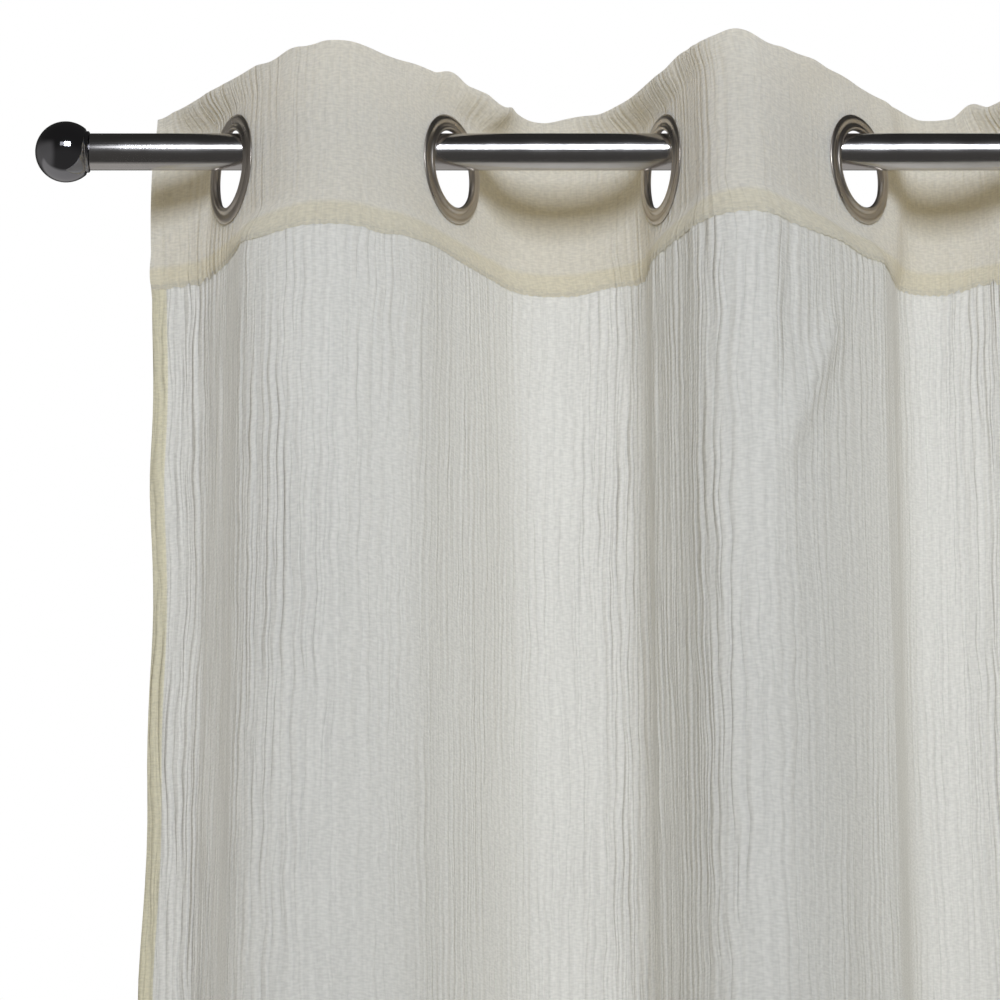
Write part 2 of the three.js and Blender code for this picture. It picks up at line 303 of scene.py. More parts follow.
class Field:
    """Smooth noise from -1 to 1 over the flat cloth, with its own grain along and down it."""

    def __init__(self, seed, across, down):
        self.across, self.down = across, down
        size = (int(CURTAIN_LENGTH / down) + 8, int(FLAT_WIDTH / across) + 8)
        self.grid = np.random.default_rng(seed).uniform(-1, 1, size)

    def __call__(self, flat, drop):
        x, y = np.broadcast_arrays(flat / self.across + 3, drop / self.down + 3)
        x = np.clip(x, 0, self.grid.shape[1] - 2)
        y = np.clip(y, 0, self.grid.shape[0] - 2)
        column, row = np.floor(x).astype(int), np.floor(y).astype(int)
        fx, fy = x - column, y - row
        fx, fy = fx * fx * (3 - 2 * fx), fy * fy * (3 - 2 * fy)
        upper = mix(self.grid[row, column], self.grid[row, column + 1], fx)
        lower = mix(self.grid[row + 1, column], self.grid[row + 1, column + 1], fx)
        return mix(upper, lower, fy)


wander = Field(11, 60, 260)
swell = Field(12, 46, 420)
ripple = Field(13, 17, 210)
ribs = Field(14, 4.6, 90)
waver = Field(15, 26, 34)

# cloth meshes


def bumps(rows, size, at):
    """The sum of rounded bumps, each round its own place."""
    total = np.zeros(len(at))
    for place, reach, height in zip(rows["at"], rows["reach"], rows[size]):
        share = np.clip(np.abs(at - place) / reach, 0, 1)
        total += height * (1 - share ** 2) ** 2
    return total


def surface(flat, heights):
    """The sheet's points and its way out towards the front, as arrays of rows and columns."""
    lines = np.array([plan_line(z, flat) for z in heights])
    # rounds the corners where two stretches meet
    for _ in range(CORNER_ROUNDS):
        inner = lines[:, 1:-1]
        lines[:, 1:-1] = inner + 0.25 * (lines[:, :-2] - 2 * inner + lines[:, 2:])
    points = np.dstack([lines, np.repeat(heights[:, None], len(flat), axis=1)])
    near_top = ease(heights, TOP_RIPPLE_FROM, TOP_Z)[:, None]
    near_seam = ease(-heights, -SEAM_RIPPLE_FROM, -SEAM_Z)
    near_seam = near_seam * (1 - ease(-heights, -SEAM_Z, -SEAM_RIPPLE_TO))
    points[..., 2] += near_top * bumps(TOP_RIPPLES, "rise", flat)
    points[..., 2] += near_seam[:, None] * bumps(SEAM_RIPPLES, "rise", flat)
    drop = TOP_Z - heights
    near_left = 1 - ease(flat, 0, EDGE_WAVE_WIDTH)
    near_right = 1 - ease(FLAT_WIDTH - flat, 0, EDGE_WAVE_WIDTH)
    points[..., 0] += bumps(LEFT_WAVES, "out", drop)[:, None] * near_left
    points[..., 0] += bumps(RIGHT_WAVES, "out", drop)[:, None] * near_right
    along = np.gradient(points, axis=1)
    down = np.gradient(points, axis=0)
    out = np.cross(down, along)
    return points, out / np.linalg.norm(out, axis=2, keepdims=True)


def creases(flat, drop):
    """How far the listed creases stand out."""
    total = np.zeros(np.broadcast(flat, drop).shape)
    for start_flat, start_drop, end_flat, end_drop, reach, height in zip(*CREASES.values()):
        run = np.hypot(end_flat - start_flat, end_drop - start_drop)
        way_flat = (end_flat - start_flat) / run
        way_drop = (end_drop - start_drop) / run
        from_flat = flat - start_flat
        from_drop = drop - start_drop
        passed = (from_flat * way_flat + from_drop * way_drop) / run
        aside = np.clip(np.abs(from_flat * way_drop - from_drop * way_flat) / reach, 0, 1)
        fade = ease(passed, *CREASE_RISES) * (1 - ease(passed, *CREASE_FALLS))
        total += height * fade * (1 - aside) ** 2
    return total


def eyelet_distance(flat, heights):
    """How far each place on the flat cloth lies from the nearest eyelet's middle."""
    ways = [np.hypot(flat[None, :] - at, heights[:, None] - EYELET_Z) for at in EYELET_AT]
    return np.minimum.reduce(ways)


def away_from_eyelets(flat, heights):
    """0 where the eyelets hold the cloth flat, rising to 1 away from them."""
    return ease(eyelet_distance(flat, heights), EYELET_RADIUS - 1, EYELET_RADIUS + EYELET_CALM)


def crinkle(flat, heights, depth_of_ribs=1.0):
    """How far the cloth stands out of its smooth folds."""
    drop = TOP_Z - heights[:, None]
    across = flat[None, :]
    shifted = across + WANDER_SHIFT * wander(across, drop)
    waved = shifted + WAVER_SHIFT * waver(across, drop)
    to_left = 0.5 + 0.5 * np.cos(2 * math.pi * (flat - RIB_DEEPEST_AT) / RIB_REPEAT)
    rib_depth = depth_of_ribs * mix(RIB_DEPTH_LEAST, RIB_DEPTH_MOST, to_left ** 2)
    depth = SWELL_DEPTH * swell(shifted, drop) + RIPPLE_DEPTH * ripple(shifted, drop)
    depth += rib_depth[None, :] * (1 + SWELL_IN_RIBS * swell(waved, drop)) * ribs(waved, drop)
    return (depth + creases(across, drop)) * away_from_eyelets(flat, heights)


def grid_mesh(name, points, uv, keep=None):
    """A mesh through a grid of points (rows, columns, 3) in millimetres."""
    rows, columns = points.shape[:2]
    index = np.arange(rows * columns).reshape(rows, columns)
    faces = np.stack([index[:-1, :-1], index[1:, :-1], index[1:, 1:], index[:-1, 1:]], axis=-1)
    faces = faces.reshape(-1, 4)
    if keep is not None:
        faces = faces[keep.reshape(-1)]
    used, faces = np.unique(faces, return_inverse=True)
    faces = faces.reshape(-1, 4)
    mesh = bpy.data.meshes.new(name)
    mesh.from_pydata((points.reshape(-1, 3)[used] * MM).tolist(), [], faces.tolist())
    layer = mesh.uv_layers.new(name="UVMap")
    corners = uv.reshape(-1, 2)[used][faces.reshape(-1)]
    layer.data.foreach_set("uv", corners.astype(np.float32).ravel())
    mesh.polygons.foreach_set("use_smooth", np.ones(len(faces), bool))
    mesh.update()
    piece = bpy.data.objects.new(name, mesh)
    bpy.context.scene.collection.objects.link(piece)
    return piece


def even_steps(stretches, spacing):
    """Places on the flat cloth that split each stretch into even steps."""
    places = [np.array([0.0])]
    at = 0
    for width in stretches:
        count = max(2, int(round(width / spacing)))
        places.append(at + width * np.arange(1, count + 1) / count)
        at += width
    return np.concatenate(places)


def make_panel():
    """The drop below the seam: one layer, with its side hems and bottom hem turned to the back."""
    column_pitch = 1.78
    rows = 100
    tucked_under_heading = 3
    flat = even_steps(STRETCHES, column_pitch)
    # rows lie closer together near the heading
    share = np.linspace(0, 1, rows)
    heights = mix(SEAM_Z + tucked_under_heading, HEM_Z, 0.35 * share + 0.65 * share ** 2)
    points, out = surface(flat, heights)
    points = points + out * crinkle(flat, heights)[..., None]
    # the side hems: how far in from the edge and how deep behind the cloth
    turned_in = np.array([SIDE_HEM_WIDTH, 5, 2, 0.6, 0.0])
    turned_depth = np.array([1.1, 1.1, 1.1, 1.0, 0.6])
    left = fold_back(points, out, flat, turned_in, turned_depth, 0)
    right = fold_back(points, out, flat, turned_in, turned_depth, -1)
    full = np.concatenate([left[0], points, right[0][:, ::-1]], axis=1)
    ways = np.concatenate([left[1], out, right[1][:, ::-1]], axis=1)
    across = np.concatenate([left[2], flat, FLAT_WIDTH + turned_in[::-1]])
    # the bottom hem runs up the back
    rises = np.array([0.0, 0.5, 3, 15, 30, 45, 58, BOTTOM_HEM_DEPTH])
    depths = np.array([0.7, 1.2, 1.3, 1.3, 1.3, 1.2, 0.8, 0.5])
    hem_rows = []
    for rise, depth in zip(rises, depths):
        hem_rows.append(full[-1] - ways[-1] * depth + np.array([0, 0, rise]))
    full = np.concatenate([full, np.array(hem_rows)], axis=0)
    drop = np.concatenate([TOP_Z - heights, CURTAIN_LENGTH + rises])
    uv = np.dstack(np.broadcast_arrays(across[None, :] * MM, -drop[:, None] * MM))
    return grid_mesh("curtain_panel", full, uv), (flat, heights, points, out)


def fold_back(points, out, flat, inward, depth, side):
    """Columns that carry the cloth round its edge and back behind it."""
    edge_flat = flat if side == 0 else FLAT_WIDTH - flat[::-1]
    ordered = points if side == 0 else points[:, ::-1]
    ways = out if side == 0 else out[:, ::-1]
    columns = []
    normals = []
    for width, behind in zip(inward, depth):
        at = np.clip(np.searchsorted(edge_flat, width), 1, len(edge_flat) - 1)
        share = (width - edge_flat[at - 1]) / (edge_flat[at] - edge_flat[at - 1])
        point = mix(ordered[:, at - 1], ordered[:, at], share)
        way = mix(ways[:, at - 1], ways[:, at], share)
        columns.append(point - way * behind)
        normals.append(way)
    return np.stack(columns, axis=1), np.stack(normals, axis=1), -inward


def make_heading():
    """The strip at the top: a front layer, the fold over the top edge, and a back layer."""
    column_pitch = 1.72
    rows = 46
    half_gap = 0.75
    # the front layer lies close on the panel at the seam
    half_gap_at_seam = 0.12
    seam_slope = 7
    front_ribs = 0.3
    back_share = 0.8
    pucker_height = 0.7
    pucker_pitch = 5.2
    flat = even_steps(STRETCHES, column_pitch)
    heights = np.linspace(TOP_Z, SEAM_Z, rows)
    points, out = surface(flat, heights)
    crinkled = crinkle(flat, heights, front_ribs)[..., None]
    at_seam = ease(-heights, -SEAM_Z - seam_slope, -SEAM_Z)
    front = points + out * (mix(half_gap, half_gap_at_seam, at_seam)[:, None, None] + crinkled)
    uneven = ripple(3 * flat, np.full(len(flat), 40.0))
    front[-1, :, 2] += pucker_height * np.sin(flat * 2 * math.pi / pucker_pitch) * uneven
    back = points + out * (crinkled * back_share - half_gap)
    over = []
    for angle in np.radians([60, 30, 0, -30, -60]):
        lift = np.array([0, 0, half_gap * math.cos(angle)])
        over.append(points[0] + out[0] * (half_gap * math.sin(angle) + crinkled[0]) + lift)
    full = np.concatenate([front[::-1], np.array(over), back], axis=0)
    row_height = np.concatenate([heights[::-1], np.full(len(over), TOP_Z), heights])
    # the back layer goes on above the top edge on the flat cloth
    drop = np.concatenate([(TOP_Z - heights)[::-1], np.zeros(len(over)), heights - TOP_Z])
    uv = np.dstack(np.broadcast_arrays(flat[None, :] * MM, -drop[:, None] * MM))
    outside = eyelet_distance(flat, row_height) > CLOTH_HOLE_RADIUS
    keep = outside[:-1, :-1] & outside[1:, :-1] & outside[1:, 1:] & outside[:-1, 1:]
    return grid_mesh("curtain_heading", full, uv, keep), (flat, heights, front, out)


def seam_line(grid, ends, pitch):
    """Places along a straight seam on the flat cloth, each with its way and the way out."""
    flat, heights, points, out = grid
    (flat_from, z_from), (flat_to, z_to) = ends
    steps = max(2, int(math.hypot(flat_to - flat_from, z_to - z_from) / pitch))
    at = np.linspace(flat_from, flat_to, steps)
    z = np.linspace(z_from, z_to, steps)
    column = np.clip(np.searchsorted(flat, at), 1, len(flat) - 1)
    row = np.clip(np.searchsorted(-heights, -z), 1, len(heights) - 1)
    across = ((at - flat[column - 1]) / (flat[column] - flat[column - 1]))[:, None]
    down = ((z - heights[row - 1]) / (heights[row] - heights[row - 1]))[:, None]

    def read(values):
        upper = mix(values[row - 1, column - 1], values[row - 1, column], across)
        lower = mix(values[row, column - 1], values[row, column], across)
        return mix(upper, lower, down)

    places = read(points)
    ways = np.gradient(places, axis=0)
    return places, ways / np.linalg.norm(ways, axis=1, keepdims=True), read(out)


def stitch_runs(panel_grid, heading_grid):
    """Each seam as the cloth it is on and its two ends on the flat cloth."""
    side = SIDE_HEM_WIDTH - 0.7
    margin = 4
    heading_seam = SEAM_Z + 2.2
    hem_seam = HEM_Z + BOTTOM_HEM_DEPTH - 2
    runs = [(heading_grid, ((margin, heading_seam), (FLAT_WIDTH - margin, heading_seam)))]
    for at in (side, FLAT_WIDTH - side):
        runs.append((heading_grid, ((at, TOP_Z - 3), (at, SEAM_Z + 4))))
        runs.append((panel_grid, ((at, SEAM_Z - 2), (at, HEM_Z + 3))))
    runs.append((panel_grid, ((margin, hem_seam), (FLAT_WIDTH - margin, hem_seam))))
    return runs


def make_stitches(panel_grid, heading_grid):
    """The sewing thread of the heading's seam and of the side and bottom hems."""
    pitch = 3.2
    half_length = 1.15
    half_width = 0.18
    lift = 0.16
    points = []
    faces = []
    for grid, ends in stitch_runs(panel_grid, heading_grid):
        for middle, way, out in zip(*seam_line(grid, ends, pitch)):
            aside = np.cross(way, out)
            first = len(points)
            tip, side, top, far_side, far_tip = range(first, first + 5)
            points += [
                middle - way * half_length,
                middle + aside * half_width,
                middle + out * lift,
                middle - aside * half_width,
                middle + way * half_length,
            ]
            faces += [(tip, side, top), (tip, top, far_side), (far_tip, top, side), (far_tip, far_side, top)]
    mesh = bpy.data.meshes.new("sewing_thread")
    mesh.from_pydata((np.array(points) * MM).tolist(), [], faces)
    mesh.update()
    piece = bpy.data.objects.new("sewing_thread", mesh)
    bpy.context.scene.collection.objects.link(piece)
    return piece


panel, panel_grid = make_panel()
heading, heading_grid = make_heading()
stitches = make_stitches(panel_grid, heading_grid)

# turned pieces


def lathe(name, outline, sides, closed):
    """A surface of revolution about +Y from (radius, height) pairs in millimetres."""
    outline = np.array(outline, float)
    angles = np.arange(sides) * 2 * math.pi / sides
    rings = np.stack([
        outline[:, :1] * np.cos(angles),
        np.repeat(outline[:, 1:], sides, axis=1),
        outline[:, :1] * np.sin(angles),
    ], axis=-1)
    count = len(outline)
    index = np.arange(count * sides).reshape(count, sides)
    following = np.roll(index, -1, axis=0) if closed else index[1:]
    current = index if closed else index[:-1]
    faces = np.stack([
        current, np.roll(current, -1, axis=1), np.roll(following, -1, axis=1), following,
    ], axis=-1).reshape(-1, 4)
    mesh = bpy.data.meshes.new(name)
    mesh.from_pydata((rings.reshape(-1, 3) * MM).tolist(), [], faces.tolist())
    mesh.polygons.foreach_set("use_smooth", np.ones(len(faces), bool))
    mesh.validate()
    mesh.update()
    return mesh


def place(name, mesh, node, location, turn):
    """A piece that stands in for a node, at a place in millimetres."""
    piece = bpy.data.objects.new(name, mesh)
    piece.location = [c * MM for c in location]
    piece.rotation_euler = (0, 0, turn)
    bpy.context.scene.collection.objects.link(piece)
    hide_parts(node)
    return piece


def arc(centre, radius, start, end, steps):
    """Points on an arc, its angles in degrees."""
    angles = np.radians(np.linspace(start, end, steps + 1))
    return [(centre[0] + radius * math.cos(a), centre[1] + radius * math.sin(a)) for a in angles]


def eyelet_outlines():
    """Outlines of the front half and the back half as (radius, height above the cloth's middle)."""
    seat = 0.95
    roll = 1.7
    roll_at = EYELET_HOLE_RADIUS + roll
    flare = 24.2
    wall = flare + 0.3
    # front half: back of the flange, outer rim, shallow dish, rolled lip, barrel that flares behind
    front = [(flare + 0.2, seat), (28.5, seat), (29.7, seat)]
    front += arc((29.7, seat + 0.45), 0.25, -20, 40, 3)
    front += [(29.3, seat + 1.05), (28.6, seat + 1.4), (27.8, seat + 1.5), (26.9, seat + 1.4)]
    front += [(26.0, seat + 1.15), (25.2, seat + 1.0), (24.4, seat + 1.1)]
    front += arc((roll_at, seat + 0.65), roll, 45, 240, 20)
    front += [(22.6, -0.5), (23.4, -1.0), (flare, -1.3)]
    back = [(wall, -seat), (wall, -seat - 0.5)]
    back += arc((wall + 0.9, -seat - 0.6), 0.8, 180, 290, 6)
    back += [(26.3, -seat - 1.25), (27.8, -seat - 1.35)]
    back += arc((29.1, -seat - 0.65), 0.85, -110, 60, 8)
    back += [(28.4, -seat)]
    return front, back


def make_eyelets():
    front_outline, back_outline = eyelet_outlines()
    front_mesh = lathe("eyelet_front_mesh", front_outline, RING_SIDES, True)
    back_mesh = lathe("eyelet_back_mesh", back_outline, RING_SIDES, True)
    made = []
    for index in range(EYELETS):
        _, start_way, _, _, _ = flank_at(index, EYELET_Z)
        turn = math.atan2(-start_way[1], -start_way[0])
        where = (FLANKS["along"][index], 0, EYELET_Z)
        number = index + 1
        front = place("ring_front_%d" % number, front_mesh, "eyelet_front_%d" % number, where, turn)
        back = place("ring_back_%d" % number, back_mesh, "eyelet_back_%d" % number, where, turn)
        made += [front, back]
    return made


def make_rod():
    half = ROD_LENGTH / 2
    edge = 0.6
    plain_end = 20
    outline = [(AXIS_RADIUS, -half), (ROD_RADIUS - edge, -half)]
    outline += arc((ROD_RADIUS - edge, -half + edge), edge, -90, 0, 4)[1:]
    outline += [(ROD_RADIUS, y) for y in np.linspace(-half + plain_end, half - plain_end, 12)]
    outline += arc((ROD_RADIUS - edge, half - edge), edge, 0, 90, 4)
    outline += [(AXIS_RADIUS, half)]
    mesh = lathe("rod_tube", outline, ROUND_SIDES, False)
    return place("rod_tube", mesh, "rod", (0, 0, 0), -math.pi / 2)


def make_finial(side, node):
    """A ball on a short neck. Its outline starts at the rod and runs outwards."""
    cut = math.degrees(math.asin(FINIAL_FACE_RADIUS / FINIAL_RADIUS))
    centre = FINIAL_NECK_LENGTH + FINIAL_RADIUS * math.cos(math.radians(cut))
    bevel = 0.4
    groove = 0.5
    outline = [
        (AXIS_RADIUS, 0),
        (FINIAL_NECK_RADIUS - bevel, 0),
        (FINIAL_NECK_RADIUS, bevel),
        (FINIAL_NECK_RADIUS, FINIAL_NECK_LENGTH),
        (FINIAL_FACE_RADIUS - groove, FINIAL_NECK_LENGTH),
    ]
    outline += arc((0, centre), FINIAL_RADIUS, cut - 90 + 1.5, 90, 48)
    outline[-1] = (AXIS_RADIUS, centre + FINIAL_RADIUS)
    mesh = lathe(node + "_ball", outline, ROUND_SIDES, False)
    where = (side * (ROD_LENGTH / 2 + FIT_GAP), 0, 0)
    return place(node + "_ball", mesh, node, where, -side * math.pi / 2)


rings = make_eyelets()
rod = make_rod()
finials = [make_finial(-1, "finial_left"), make_finial(1, "finial_right")]

# materials


def set_range(node, low, high, to_low, to_high):
    """Sets the limits of a Map Range node."""
    node.interpolation_type = "SMOOTHSTEP"
    node.inputs["From Min"].default_value = low
    node.inputs["From Max"].default_value = high
    node.inputs["To Min"].default_value = to_low
    node.inputs["To Max"].default_value = to_high


class Shader:
    """Short calls for building one material's nodes."""

    def __init__(self, name):
        self.material = bpy.data.materials.new(name)
        self.material.use_nodes = True
        self.tree = self.material.node_tree
        self.tree.nodes.clear()
        self.output = self.tree.nodes.new("ShaderNodeOutputMaterial")

    def node(self, kind, settings=None, **inputs):
        made = self.tree.nodes.new("ShaderNode" + kind)
        for key, value in (settings or {}).items():
            setattr(made, key, value)
        for key, value in inputs.items():
            self.feed(made.inputs[key.replace("_", " ")], value)
        return made

    def feed(self, socket, value):
        if isinstance(value, bpy.types.NodeSocket):
            self.tree.links.new(value, socket)
        else:
            socket.default_value = value

    def math(self, operation, a, b=0.0):
        made = self.node("Math", {"operation": operation})
        self.feed(made.inputs[0], a)
        self.feed(made.inputs[1], b)
        return made.outputs[0]

    def add(self, a, b):
        return self.math("ADD", a, b)

    def times(self, a, b):
        return self.math("MULTIPLY", a, b)

    def less(self, a, b):
        return self.math("SUBTRACT", a, b)

    def blend(self, share, a, b):
        made = self.node("Mix", {"data_type": "RGBA"})
        self.feed(made.inputs["Factor"], share)
        self.feed(made.inputs["A"], a)
        self.feed(made.inputs["B"], b)
        return made.outputs["Result"]

    def tint(self, colour, factor):
        """A colour made lighter or darker by a factor."""
        made = self.node("VectorMath", {"operation": "SCALE"})
        self.feed(made.inputs[0], colour)
        self.feed(made.inputs["Scale"], factor)
        return made.outputs[0]

    def noise(self, vector, scale, detail=2.0, roughness=0.5, dimensions="3D"):
        scaled = self.node("VectorMath", {"operation": "MULTIPLY"})
        self.feed(scaled.inputs[0], vector)
        scaled.inputs[1].default_value = scale
        made = self.node("TexNoise", {"noise_dimensions": dimensions})
        made.inputs["Scale"].default_value = 1.0
        made.inputs["Detail"].default_value = detail
        made.inputs["Roughness"].default_value = roughness
        self.feed(made.inputs["Vector"], scaled.outputs[0])
        return made.outputs["Fac"]

    def cloth_noise(self, uv, along, down, detail=0.0, roughness=0.5):
        """Noise on the flat cloth, in waves a metre along it and down it."""
        return self.noise(uv, (along, down, 1), detail, roughness, "2D")

    def remap(self, value, low, high, to_low=0.0, to_high=1.0):
        made = self.node("MapRange")
        set_range(made, low, high, to_low, to_high)
        self.feed(made.inputs["Value"], value)
        return made.outputs["Result"]

    def finish(self, closure):
        self.tree.links.new(closure.outputs[0], self.output.inputs["Surface"])
        return self.material


def rgb(red, green, blue):
    """A linear colour from display values of 0 to 255."""
    def linear(value):
        value /= 255
        return value / 12.92 if value <= 0.04045 else ((value + 0.055) / 1.055) ** 2.4
    return (linear(red), linear(green), linear(blue), 1.0)


def darker(colour, factor):
    return tuple(channel * factor for channel in colour[:3]) + (1.0,)


class Crinkles:
    """The crinkle and the weave of the cloth, with painted shade in the bottoms of its furrows, as node
    outputs. UV is the flat cloth in metres.
    """

    SWAY = 0.0075
    WAVER = 0.0026
    BEAT_LENGTH = 0.0058
    BEAT_DRIFT = 11.0
    FURROW_SHARPNESS = 4.0
    FURROW_CURVE = 0.8
    WAVE_HEIGHT = 0.55
    PLEAT_HEIGHT = 0.85
    SLUB_HEIGHT = 0.1
    WEFT_HEIGHT = 0.17
    SHALLOWEST = 0.75
    DEEPER_TO_LEFT = 1.5
    # painted shade in the bottoms of the furrows, and how much more of it on the flanks turned to the left
    PAINTED_DIP_SHADE = 0.03
    PAINTED_DIP_SHADE_TO_LEFT = 0.09

    def __init__(self, s, uv, u, v, rib_height):
        self.s = s
        repeats = s.times(s.less(u, RIB_DEEPEST_AT * MM), 2 * math.pi / (RIB_REPEAT * MM))
        self.to_left = s.remap(s.math("COSINE", repeats), -1.0, 1.0)
        # crinkles wander and lean
        self.broad = s.cloth_noise(uv, 14, 5)
        sway = s.times(s.less(self.broad, 0.5), self.SWAY)
        waver = s.times(s.less(s.cloth_noise(uv, 60, 42), 0.5), self.WAVER)
        self.bent_u = s.add(u, s.add(sway, waver))
        self.bent = s.node("CombineXYZ", X=self.bent_u, Y=v).outputs[0]
        self.patches = s.cloth_noise(uv, 21, 5)
        self.furrow = self.make_furrow()
        self.wave = self.make_wave()
        self.slub = s.cloth_noise(uv, 900, 200)
        self.weft = s.cloth_noise(uv, 330, 950)
        self.rib_height = rib_height

    def make_furrow(self):
        """Narrow furrows of uneven spacing, 0 at the bottom."""
        s = self.s
        lines = s.cloth_noise(self.bent, 210, 7, 1.0, 0.45)
        furrow = s.times(s.math("ABSOLUTE", s.less(lines, 0.5)), self.FURROW_SHARPNESS)
        return s.math("POWER", s.math("MINIMUM", furrow, 1.0), self.FURROW_CURVE)

    def make_wave(self):
        """Rounded ribs at an almost even spacing."""
        s = self.s
        beat = s.times(self.bent_u, 2 * math.pi / self.BEAT_LENGTH)
        beat = s.add(beat, s.times(self.patches, self.BEAT_DRIFT))
        return s.math("ABSOLUTE", s.math("SINE", s.times(beat, 0.5)))

    def height(self):
        """Height of the relief in millimetres."""
        s = self.s
        pleats = s.cloth_noise(self.bent, 95, 6, 1.0, 0.5)
        strength = s.remap(self.patches, 0.25, 0.75, 0.55, 1.1)
        height = s.times(s.add(self.furrow, s.times(self.wave, self.WAVE_HEIGHT)), strength)
        height = s.add(height, s.times(pleats, self.PLEAT_HEIGHT))
        squared = s.times(self.to_left, self.to_left)
        deeper = s.add(self.SHALLOWEST, s.times(squared, self.DEEPER_TO_LEFT))
        height = s.times(height, s.times(deeper, self.rib_height))
        height = s.add(height, s.times(self.slub, self.SLUB_HEIGHT))
        return s.add(height, s.times(self.weft, self.WEFT_HEIGHT))

    def shade(self):
        """How much lighter or darker the threads are, times painted shade in the bottoms of the furrows."""
        s = self.s
        clouds = s.remap(self.broad, 0.2, 0.8, 0.985, 1.01)
        slub_shade = s.remap(self.slub, 0.2, 0.8, 0.975, 1.02)
        weft_shade = s.remap(self.weft, 0.2, 0.8, 0.95, 1.04)
        # painted shade: the bottoms of the furrows are darkened, deeper on the flanks turned to the left
        bottom = s.remap(s.times(self.furrow, self.wave), 0.0, 0.4, 1.0, 0.0)
        painted_shade_strength = s.add(self.PAINTED_DIP_SHADE, s.times(self.to_left, self.PAINTED_DIP_SHADE_TO_LEFT))
        painted_dip_shade = s.times(s.times(bottom, self.rib_height), painted_shade_strength)
        return s.times(s.times(slub_shade, weft_shade), s.times(clouds, s.less(1.0, painted_dip_shade)))


def doubled_share(s, u, v, edges):
    """0 on single cloth and 1 where it is doubled.

    Each edge says which of u and v it lies across, a value on the single side and one on the
    doubled side.
    """
    double = 0.0
    for axis, single_at, double_at in edges:
        low = min(single_at, double_at)
        high = max(single_at, double_at)
        ends = (1.0, 0.0) if double_at < single_at else (0.0, 1.0)
        double = s.math("MAXIMUM", double, s.remap(u if axis == "u" else v, low, high, *ends))
    return double


def cloth_material(name, face_colours, through_colours, doubled_edges, through, rib_height, fuzz):
    """Crinkled open-weave cloth, with painted shade in its furrows.

    Each pair of colours is for the single and the doubled cloth: face for reflected light and
    through for light from behind.
    """
    s = Shader(name)
    uv = s.node("UVMap").outputs["UV"]
    parts = s.node("SeparateXYZ", Vector=uv)
    u = parts.outputs["X"]
    v = parts.outputs["Y"]
    crinkles = Crinkles(s, uv, u, v, rib_height)
    bump = s.node("Bump", Strength=1.0, Distance=MM, Height=crinkles.height())
    double = doubled_share(s, u, v, doubled_edges)
    # thread tone times painted shade in the furrows, for both the face and the through colours
    shade = crinkles.shade()
    face = s.node("BsdfPrincipled", Roughness=0.92, Diffuse_Roughness=fuzz, Specular_IOR_Level=0.2)
    s.feed(face.inputs["Base Color"], s.tint(s.blend(double, *face_colours), shade))
    s.feed(face.inputs["Normal"], bump.outputs["Normal"])
    back = s.node("BsdfTranslucent")
    s.feed(back.inputs["Color"], s.tint(s.blend(double, *through_colours), shade))
    s.feed(back.inputs["Normal"], bump.outputs["Normal"])
    body = s.node("MixShader", Fac=through)
    s.tree.links.new(face.outputs[0], body.inputs[1])
    s.tree.links.new(back.outputs[0], body.inputs[2])
    return s.finish(body)


def thread_material(name, colour):
    """Twisted sewing thread, matt."""
    s = Shader(name)
    twists_a_metre = 1400
    coordinates = s.node("TexCoord").outputs["Object"]
    twist = s.noise(coordinates, (twists_a_metre, twists_a_metre, twists_a_metre), 1.0)
    bump = s.node("Bump", Strength=1.0, Distance=0.0001, Height=twist)
    face = s.node("BsdfPrincipled", Roughness=0.85)
    s.feed(face.inputs["Base Color"], s.blend(twist, colour, darker(colour, 0.8)))
    s.feed(face.inputs["Normal"], bump.outputs["Normal"])
    return s.finish(face)


def metal_material(name, colour, roughness, grain_scale, grain_depth, blotch):
    """Metal with a fine grain in its roughness and surface. grain_scale is a metre along X, Y, Z."""
    s = Shader(name)
    coordinates = s.node("TexCoord").outputs["Object"]
    grain = s.noise(coordinates, grain_scale)
    clouds = s.noise(coordinates, (45, 45, 45))
    fine = s.remap(grain, 0.2, 0.8, roughness * 0.88, roughness * 1.12)
    broad = s.remap(clouds, 0.3, 0.7, -blotch / 2, blotch / 2)
    bump = s.node("Bump", Strength=1.0, Distance=grain_depth, Height=grain)
    face = s.node("BsdfPrincipled", Metallic=1.0)
    s.feed(face.inputs["Base Color"], s.blend(s.remap(clouds, 0.25, 0.75), colour, darker(colour, 0.9)))
    s.feed(face.inputs["Roughness"], s.add(fine, broad))
    s.feed(face.inputs["Normal"], bump.outputs["Normal"])
    return s.finish(face)


HEM_EDGES = [("u", 0.0085, 0.0075), ("u", 1.3915, 1.3925), ("v", -2.3395, -2.3405)]
BAND_EDGES = [("v", -0.0865, -0.0905)]


def panel_material():
    """Off-white cloth, single, and creamier where its hems double it."""
    return cloth_material(
        "crinkled_cloth",
        face_colours=(rgb(234, 233, 230), rgb(236, 232, 214)),
        through_colours=(rgb(234, 230, 217), rgb(238, 229, 194)),
        doubled_edges=HEM_EDGES,
        through=0.39,
        rib_height=0.64,
        fuzz=0.2,
    )


def heading_material():
    """The same cloth folded double, cream where light comes through, and a turned-in band."""
    return cloth_material(
        "heading_cloth",
        face_colours=(rgb(229, 231, 233), rgb(229, 229, 223)),
        through_colours=(rgb(250, 236, 198), rgb(245, 229, 180)),
        doubled_edges=BAND_EDGES,
        through=0.45,
        rib_height=0.33,
        fuzz=0.5,
    )


